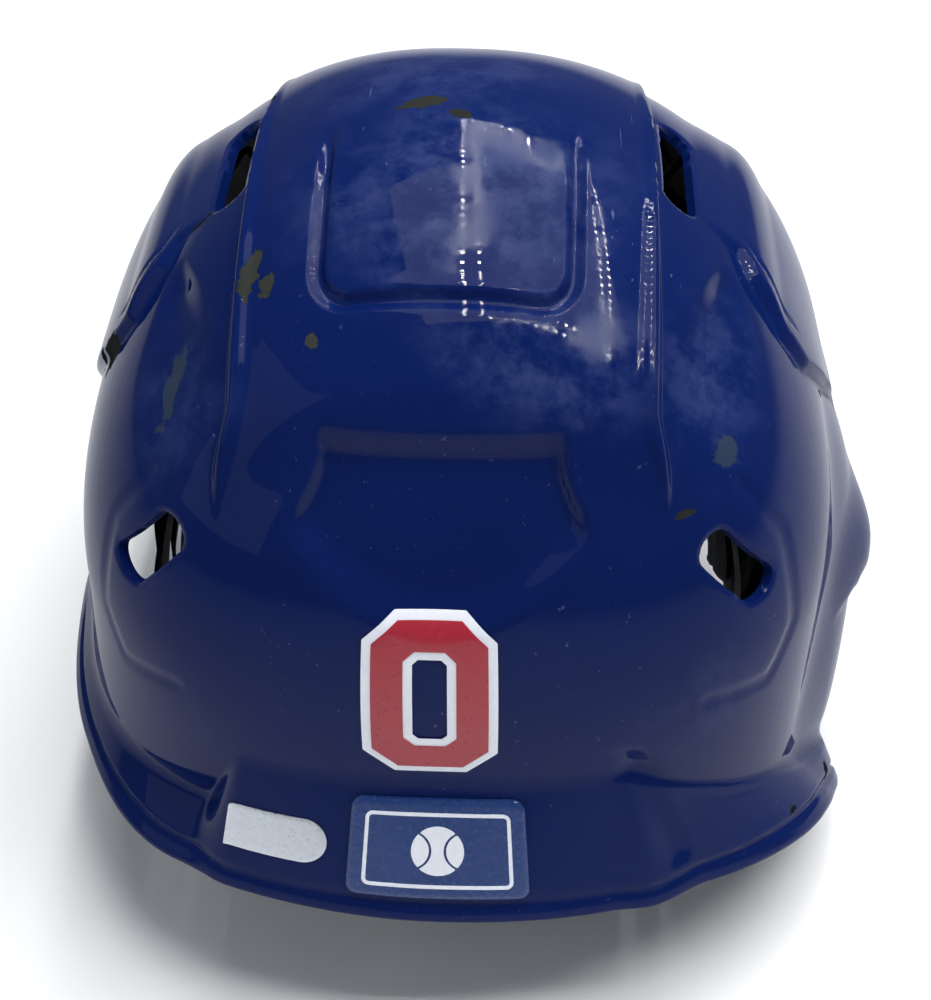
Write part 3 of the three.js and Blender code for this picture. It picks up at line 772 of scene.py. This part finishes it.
def build_liner(name, place, inner, material):
    """Foam block with rounded inner edges and moulded channels across its inner face."""
    def low(depth, x, y):
        bevel = 3.2 * (1 - np.clip(depth / 4, 0, 1))**2
        along = hump((np.mod(x + 11, 22) - 11) / 2.2)
        across = hump((np.mod(y + 13, 26) - 13) / 2.2)
        channel = 1.6 * np.maximum(along, across)
        return inner + bevel + channel * ramp(5, 9, depth)

    def high(depth, x, y):
        return LINER_FACE - 0.8 * (1 - np.clip(depth / 2, 0, 1))**2

    block = rounded_block(name + "_foam", place, 9, high, low, material, pitch=1.4)
    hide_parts(name)
    return block


def build_pad(name, place, liner_inner, thickness):
    """Crowned fabric pad with a bound edge and a sewn seam inside it, and the hook strip behind it."""
    strip_face = liner_inner - STRIP_GAP

    def strip_high(depth, x, y):
        return strip_face + 0 * depth

    def strip_low(depth, x, y):
        rows = 0.25 * hump(np.mod(x, 1.6) / 0.8 - 1) * ramp(0.4, 1.2, depth)
        return strip_face - STRIP_THICKNESS + rows

    strip = rounded_block(name + "_hooks", place, 2.5, strip_high, strip_low, hooks, pitch=0.8, share=STRIP_SHARE)
    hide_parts(name + "_strip")
    face = strip_face - STRIP_THICKNESS - PAD_GAP
    seam_at = 4.2

    def low(depth, x, y):
        swell = 1 - (1 - np.clip(depth / 9, 0, 1))**2.4
        binding = 0.5 * hump((depth - 1.3) / 1.4)
        stitch = 0.7 + 0.3 * np.cos(2 * math.pi * (x + y) / 3.2)
        seam = 1.0 * hump((depth - seam_at) / 1.3) * stitch
        ripple = np.sin(x * 0.9 + 1.3 * np.sin(y * 0.5)) * np.cos(y * 0.8)
        pull = 0.35 * hump((depth - seam_at - 2) / 2.4) * ripple
        return face - 1.8 - (thickness - 1.8) * swell - binding + seam + pull

    def high(depth, x, y):
        return face - 0.5 * (1 - np.clip(depth / 2, 0, 1))**2

    cushion = rounded_block(name + "_cushion", place, 6, high, low, fabric, pitch=0.9)
    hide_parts(name)


def build_flap_liner():
    """Foam behind the ear flap, cut away round the ear hole."""
    place = skirt_patch((65, 108), (1.32, 3.6))
    half_u, half_v = patch_size(place)
    u_axis, v_axis = np.linspace(-1, 1, 70), np.linspace(-1, 1, 80)

    def keep(u, v):
        qx, qy = np.abs(u) * half_u - half_u + 9, np.abs(v) * half_v - half_v + 9
        block = 9 - np.hypot(np.maximum(qx, 0), np.maximum(qy, 0)) - np.minimum(np.maximum(qx, qy), 0)
        at = place(u, v, np.zeros_like(u))
        return np.minimum(block, np.hypot(at[..., 1] - EAR_Y, at[..., 2] - EAR_Z) - EAR_RECESS_RADIUS)

    block = slab("flap_liner_foam", place, u_axis, v_axis, keep,
                 lambda d, u, v: FLAP_LINER_FACE - 0.5 * (1 - np.clip(d / 2, 0, 1))**2,
                 lambda d, u, v: FLAP_LINER + 3 * (1 - np.clip(d / 4, 0, 1))**2, foam)
    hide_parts("flap_liner")


foam = plain_material("foam", rgb(30, 31, 34), rgb(56, 58, 62), 0.85, scale=420, strength=0.7)
fabric = plain_material("pad_fabric", rgb(24, 25, 28), rgb(44, 46, 50), 0.9, scale=1300, strength=0.5)
hooks = plain_material("hook_strip", rgb(14, 14, 16), rgb(30, 30, 33), 0.95, scale=1700, strength=0.9)

build_liner("crown_liner", crown_patch((-46, 46), (-70, 74)), CROWN_LINER, foam)
build_liner("front_liner", body_patch((-35, 35), (50, 92)), END_LINER, foam)
build_liner("rear_liner", body_patch((151, 209), (50, 104)), END_LINER, foam)
build_liner("left_liner", body_patch((-128, -53), (43, 101)), SIDE_LINER, foam)
build_liner("right_liner", body_patch((53, 128), (43, 96)), SIDE_LINER, foam)
build_flap_liner()
build_pad("brow_pad", body_patch((-29, 29), (72, 90)), END_LINER, THIN_PAD)
build_pad("rear_pad", body_patch((161, 199), (60, 84)), END_LINER, THIN_PAD)
build_pad("nape_pad", body_patch((163, 197), (88, 102)), END_LINER, THIN_PAD)
build_pad("left_crown_pad", crown_patch((-38, -8), (-54, 56)), CROWN_LINER, SIDE_PAD)
build_pad("right_crown_pad", crown_patch((8, 38), (-54, 56)), CROWN_LINER, SIDE_PAD)
build_pad("left_temple_pad", body_patch((-78, -58), (66, 97)), SIDE_LINER, SIDE_PAD)
build_pad("left_side_pad", body_patch((-122, -94), (66, 97)), SIDE_LINER, SIDE_PAD)
build_pad("right_temple_pad", body_patch((58, 78), (62, 92)), SIDE_LINER, SIDE_PAD)
build_pad("right_side_pad", body_patch((94, 122), (62, 92)), SIDE_LINER, SIDE_PAD)
build_pad("cheek_pad", skirt_patch((66, 73), (1.6, 3.2)), FLAP_LINER, THIN_PAD)
build_pad("jaw_pad", skirt_patch((101, 107), (1.6, 3.2)), FLAP_LINER, THIN_PAD)

# --------------------------------------------------------------------------- decals
DECAL_LIFT, VINYL = 0.3, 0.4
NUMBER_X, NUMBER_TILT, NUMBER_WIDTH, NUMBER_HEIGHT = -2, 85.2, 35, 52
NUMBER_BAND, NUMBER_CORNER, NUMBER_BORDER = 13, 8, 2.4
TILT_MM = 2.03  # rise of the rear wall for one degree of tilt
BADGE_WIDTH, BADGE_HEIGHT, BADGE_RISE, BADGE_THICKNESS = 48, 29, 3.6, 1.3
LABEL_X, LABEL_WIDTH, LABEL_HEIGHT, LABEL_RISE = -43.2, 26.5, 13.5, 2


def rear_wall(x, rise, lift):
    """Place on the rear wall from x and the rise above the number's middle."""
    tilt = NUMBER_TILT - rise / TILT_MM
    angle = 180 - np.degrees(np.arcsin(x / REAR_LENGTH))
    at = body_point(angle, tilt)
    return at + normals(body_point, angle, tilt) * (relief(at) + lift)[..., None]


def rear_lip(x, rise, lift):
    """Place on the rear lip from x and the rise above the lip's middle."""
    _, out, drop, _, bend = (float(value) for value in edge_at(180.0))
    angle = 180 - np.degrees(np.arcsin(x / (REAR_LENGTH + out / 2)))
    return shell_point(angle, 3.5 - rise / (math.hypot(out, drop) - bend), lift)


def box_depth(x, y, half_x, half_y, corner):
    """Distance inside a rounded rectangle."""
    qx, qy = np.abs(x) - half_x + corner, np.abs(y) - half_y + corner
    return corner - np.hypot(np.maximum(qx, 0), np.maximum(qy, 0)) - np.minimum(np.maximum(qx, qy), 0)


def octagon_depth(x, y, half_x, half_y, corner):
    """Distance inside a rectangle with its corners cut off."""
    flat = np.minimum(half_x - np.abs(x), half_y - np.abs(y))
    return np.minimum(flat, (half_x + half_y - corner - np.abs(x) - np.abs(y)) / math.sqrt(2))


def numeral_depth(x, y, inset):
    """Distance inside the block zero, drawn in by an inset."""
    shrink = 2 - math.sqrt(2)
    half_x, half_y = NUMBER_WIDTH / 2 - inset, NUMBER_HEIGHT / 2 - inset
    outside = octagon_depth(x, y, half_x, half_y, NUMBER_CORNER - inset * shrink)
    hole_x = NUMBER_WIDTH / 2 - NUMBER_BAND + inset
    hole_y = NUMBER_HEIGHT / 2 - NUMBER_BAND + inset
    return np.minimum(outside, -octagon_depth(x, y, hole_x, hole_y, 1.5 + inset * shrink))


def decal(name, place, centre, half, keep, lift, thickness, material, node, pitch=0.35, dome=0.0):
    """Thin sheet that follows a face, its outline where keep is positive."""
    xs = centre[0] + np.linspace(-half[0] - 0.5, half[0] + 0.5, int(2 * half[0] / pitch))
    ys = centre[1] + np.linspace(-half[1] - 0.5, half[1] + 0.5, int(2 * half[1] / pitch))
    sheet = slab(name, place, xs, ys, keep,
                 lambda d, x, y: lift + thickness - dome * (1 - np.clip(d / 1.2, 0, 1))**2,
                 lambda d, x, y: lift + 0 * d, material)
    if node:
        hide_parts(node)
    return sheet


def build_numeral():
    """White backing of a block zero, with the red number on it."""
    half = (NUMBER_WIDTH / 2, NUMBER_HEIGHT / 2)
    decal("numeral_border_vinyl", rear_wall, (NUMBER_X, 0), half,
          lambda x, y: numeral_depth(x - NUMBER_X, y, 0), DECAL_LIFT, VINYL, white,
          "numeral_border", dome=0.12)
    decal("numeral_face_vinyl", rear_wall, (NUMBER_X, 0), half,
          lambda x, y: numeral_depth(x - NUMBER_X, y, NUMBER_BORDER), DECAL_LIFT + VINYL + 0.05, 0.3, red,
          "numeral_face", dome=0.1)


def build_badge():
    """Raised plate with a keyline and a plain ball with two seams."""
    half = (BADGE_WIDTH / 2, BADGE_HEIGHT / 2)

    def at_y(y):
        return y - BADGE_RISE

    decal("badge_body", rear_lip, (0, BADGE_RISE), half, lambda x, y: box_depth(x, at_y(y), *half, 3),
          DECAL_LIFT, BADGE_THICKNESS, blue, "badge_plate", pitch=0.5, dome=0.5)
    face = DECAL_LIFT + BADGE_THICKNESS + 0.02
    frame_half = (half[0] - 4, half[1] - 3.4)

    def keyline(x, y):
        depth = box_depth(x, at_y(y), *frame_half, 2)
        return np.minimum(depth, 1.0 - depth)

    decal("badge_keyline", rear_lip, (0, BADGE_RISE), frame_half, keyline, face, 0.15, white, None,
          pitch=0.3)
    radius, seam_x, seam_radius = 7.2, 7.6, 5.6

    def ball(x, y):
        left, right = (np.abs(np.hypot(x - side * seam_x, at_y(y)) - seam_radius) for side in (-1, 1))
        seams = np.minimum(left, right)
        return np.minimum(radius - np.hypot(x, at_y(y)), seams - 0.35)

    decal("badge_ball", rear_lip, (0, BADGE_RISE), (radius, radius), ball, face, 0.15, white, None,
          pitch=0.25)


def build_label():
    """Plain foil sheet, square at one end and round at the other."""
    half = (LABEL_WIDTH / 2, LABEL_HEIGHT / 2)

    def outline(x, y):
        dx, dy = x - LABEL_X, y - LABEL_RISE
        square_left = np.minimum(half[0] + dx, half[1] - np.abs(dy))
        round_right = half[1] - np.hypot(np.maximum(dx - half[0] + half[1], 0), dy)
        return np.minimum(square_left, round_right)

    decal("foil_sheet", rear_lip, (LABEL_X, LABEL_RISE), half, outline, DECAL_LIFT, 0.3, foil, "foil_label",
          dome=0.08)


white = plain_material("white_vinyl", rgb(214, 218, 226), rgb(228, 231, 237), 0.35)
red = plain_material("red_vinyl", rgb(142, 22, 38), rgb(164, 30, 48), 0.33)
blue = plain_material("blue_vinyl", rgb(18, 44, 96), rgb(28, 58, 114), 0.25)
foil = plain_material("foil", rgb(176, 182, 190), rgb(206, 210, 216), 0.32, Metallic=0.8)
build_numeral()
build_badge()
build_label()

# --------------------------------------------------------------------------- camera, light and floor
FLOOR_REACH, FLOOR_Z = 6.0, -0.0002
LIGHT_AIM = (0, 0, 0.13)
LAMP_STRENGTH = 420
LAMP_PITCH, LAMP_HALF, LAMP_ROW_GAP = 0.06, 0.006, 0.07
CAMERA_AZIMUTH, CAMERA_ELEVATION = 2.2, 37.0
CAMERA_DISTANCE = 594
CAMERA_TARGET = (2.8, 0, 132)
CAMERA_DROP = 29.3        # the frame's centre is this far below the target, square to the view
LENS = 77.6


def set_camera():
    """Camera behind and above, at the photograph's angle."""
    azimuth, elevation = math.radians(CAMERA_AZIMUTH), math.radians(CAMERA_ELEVATION)
    forward = Vector((-math.sin(azimuth) * math.cos(elevation), math.cos(azimuth) * math.cos(elevation),
                      -math.sin(elevation)))
    right = Vector((math.cos(azimuth), math.sin(azimuth), 0))
    up = right.cross(forward)
    target = Vector(to_row(CAMERA_TARGET))
    place = target - forward * CAMERA_DISTANCE * MM
    data = bpy.data.cameras.new("camera")
    data.sensor_fit = "HORIZONTAL"
    data.sensor_width = 36
    data.lens = LENS
    data.clip_start = 0.01
    camera = bpy.data.objects.new("camera", data)
    camera.location = place
    aim = (target - up * CAMERA_DROP * MM - place).normalized()
    camera.rotation_euler = aim.to_track_quat("-Z", "Y").to_euler()
    bpy.context.scene.collection.objects.link(camera)
    bpy.context.scene.camera = camera


def area_light(name, place, size, power):
    """Soft rectangular light turned to the middle of the helmet."""
    data = bpy.data.lights.new(name, "AREA")
    data.shape = "RECTANGLE"
    data.size, data.size_y = size
    data.energy = power
    light = bpy.data.objects.new(name, data)
    light.location = place
    light.rotation_euler = (Vector(LIGHT_AIM) - Vector(place)).to_track_quat("-Z", "Y").to_euler()
    bpy.context.scene.collection.objects.link(light)


def lamp_frame():
    """Two rows of small lamps round an overhead panel, which the paint mirrors on the crown."""
    left, right, rear, front, height = 0.0, 0.9, -0.5, 0.9, 1.4
    verts, faces = [], []
    for inset in (0, LAMP_ROW_GAP):
        x0, x1, y0, y1 = left + inset, right - inset, rear + inset, front - inset
        spots = [(x, y) for x in np.arange(x0, x1, LAMP_PITCH) for y in (y0, y1)]
        spots += [(x, y) for y in np.arange(y0, y1, LAMP_PITCH) for x in (x0, x1)]
        for x, y in spots:
            first = len(verts)
            corners = ((-1, -1), (-1, 1), (1, 1), (1, -1))
            verts += [(x + i * LAMP_HALF, y + j * LAMP_HALF, height) for i, j in corners]
            faces.append(tuple(range(first, first + 4)))
    mesh = bpy.data.meshes.new("lamps")
    mesh.from_pydata(verts, [], faces)
    lamps = bpy.data.objects.new("lamps", mesh)
    bpy.context.scene.collection.objects.link(lamps)
    n = Nodes("lamps")
    n.shader.inputs["Emission Color"].default_value = (1, 1, 1, 1)
    n.shader.inputs["Emission Strength"].default_value = LAMP_STRENGTH
    mesh.materials.append(n.material)


def set_stage():
    """Pale floor, even sky light and plain colour handling."""
    mesh = bpy.data.meshes.new("floor")
    corners = ((-1, -1), (1, -1), (1, 1), (-1, 1))
    mesh.from_pydata([(i * FLOOR_REACH, j * FLOOR_REACH, FLOOR_Z) for i, j in corners], [], [(0, 1, 2, 3)])
    floor = bpy.data.objects.new("floor", mesh)
    bpy.context.scene.collection.objects.link(floor)
    pale = plain_material("floor", rgb(240, 240, 241), rgb(244, 244, 244), 0.8, scale=8, strength=0.02)
    mesh.materials.append(pale)
    world = bpy.data.worlds.new("world")
    world.use_nodes = True
    world.node_tree.nodes["Background"].inputs["Color"].default_value = (0.82, 0.9, 1.0, 1)
    world.node_tree.nodes["Background"].inputs["Strength"].default_value = 0.3
    bpy.context.scene.world = world
    bpy.context.scene.view_settings.view_transform = "Standard"


set_camera()
set_stage()
lamp_frame()
area_light("overhead", (0.35, 0.1, 1.8), (1.5, 1.5), 20)
area_light("left", (-1.7, -1.2, 1.2), (1.6, 1.6), 5)
